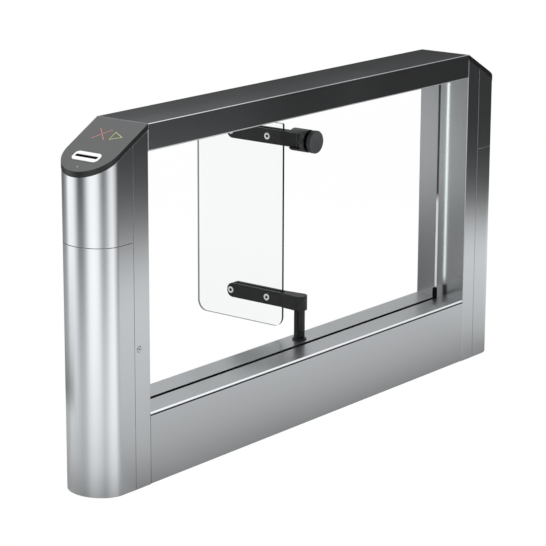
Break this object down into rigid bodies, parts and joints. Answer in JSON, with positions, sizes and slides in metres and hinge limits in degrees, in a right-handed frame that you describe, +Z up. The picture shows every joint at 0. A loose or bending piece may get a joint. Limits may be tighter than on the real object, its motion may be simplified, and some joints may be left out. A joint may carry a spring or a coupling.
{
  "type": "swing barrier gate",
  "caption": "Pedestrian swing gate: brushed steel posts with sloping dark lids, a glazed window between them and a glass leaf on two clamping arms",
  "frame": {"origin": "On the floor, at the middle of the gate body.", "axes": "+X runs along the gate towards the far post, +Z is up, and +Y is the side that the closed leaf reaches out to."},
  "size_m": [1.905, 0.5275, 1],
  "materials": {
    "brushed_steel": "fine brushed stainless",
    "dark_coated_steel": "dark satin coat",
    "satin_black": "satin black",
    "black_rubber": "matt",
    "clear_glass": "clear, polished edges",
    "zinc_plate": "zinc plated",
    "bright_steel": "turned",
    "white_plastic": "satin",
    "grey_housing": "moulded",
    "circuit_board": "lacquered",
    "red_lens": "diffusing",
    "green_lens": "diffusing"
  },
  "bodies": {
    "gate_body": {"beam_chassis": "zinc_plate", "near_base_plate": "zinc_plate", "far_base_plate": "zinc_plate", "beam_front_panel": "brushed_steel", "beam_back_panel": "brushed_steel", "beam_top": "brushed_steel", "beam_seal": "black_rubber", "rail_seal": "black_rubber", "window_pane": "clear_glass", "near_pane_clip": "satin_black", "far_pane_clip": "satin_black", "near_column": "brushed_steel", "far_column": "brushed_steel", "near_upper_cover": "brushed_steel", "far_upper_cover": "brushed_steel", "near_shelf": "zinc_plate", "far_shelf": "zinc_plate", "near_lid": "dark_coated_steel", "far_lid": "dark_coated_steel", "top_rail": "dark_coated_steel", "near_card_bezel": "white_plastic", "far_card_bezel": "white_plastic", "near_card_reader": "grey_housing", "far_card_reader": "grey_housing", "near_cross_light": "red_lens", "far_cross_light": "red_lens", "near_arrow_light": "green_lens", "far_arrow_light": "green_lens", "near_indicator_board": "circuit_board", "far_indicator_board": "circuit_board", "shaft_ring": "satin_black", "lower_bearing": "bright_steel", "upper_bearing": "bright_steel", "drive_bracket": "zinc_plate", "gearmotor": "grey_housing", "drive_belt": "black_rubber", "hub_housing": "satin_black", "hub_gasket": "black_rubber", "hub_cap": "satin_black", "controller_box": "grey_housing", "power_supply": "zinc_plate"},
    "leaf": {"leaf_shaft": "satin_black", "lower_arm": "satin_black", "lower_clamp_plate": "satin_black", "lower_clamp_pad": "black_rubber", "leaf_glass": "clear_glass", "upper_arm": "satin_black", "upper_clamp_plate": "satin_black", "upper_clamp_pad": "black_rubber", "lower_inner_screw": "bright_steel", "lower_outer_screw": "bright_steel", "upper_inner_screw": "bright_steel", "upper_outer_screw": "bright_steel"},
    "motor_drive": {"motor_pulley": "zinc_plate"},
    "near_service_door": {"near_door": "brushed_steel", "near_keeper": "zinc_plate"},
    "far_service_door": {"far_door": "brushed_steel", "far_keeper": "zinc_plate"},
    "near_cam_lock": {"near_lock": "bright_steel"},
    "far_cam_lock": {"far_lock": "bright_steel"}
  },
  "joints": [
    {"name": "leaf_swing", "type": "hinge", "parent": "gate_body", "child": "leaf", "pos_m": [0.067, 0.04, 0.3], "axis": [0, 0, 1], "range_deg": [-90, 90]},
    {"name": "motor_spin", "type": "hinge", "parent": "gate_body", "child": "motor_drive", "pos_m": [0.179, 0.04, 0.152], "axis": [0, 0, 1], "range_deg": [-225, 225]},
    {"name": "near_door_hinge", "type": "hinge", "parent": "gate_body", "child": "near_service_door", "pos_m": [-0.85, 0.083, 0.345], "axis": [0, 0, -1], "range_deg": [0, 100]},
    {"name": "far_door_hinge", "type": "hinge", "parent": "gate_body", "child": "far_service_door", "pos_m": [0.85, -0.083, 0.345], "axis": [0, 0, -1], "range_deg": [0, 100]},
    {"name": "near_lock_turn", "type": "hinge", "parent": "gate_body", "child": "near_cam_lock", "pos_m": [-0.802, -0.09, 0.394], "axis": [0, 1, 0], "range_deg": [0, 90]},
    {"name": "far_lock_turn", "type": "hinge", "parent": "gate_body", "child": "far_cam_lock", "pos_m": [0.802, 0.09, 0.394], "axis": [0, -1, 0], "range_deg": [0, 90]}
  ],
  "couplings": [
    {"joint": "motor_spin", "follows": "leaf_swing", "ratio": 2.5}
  ]
}
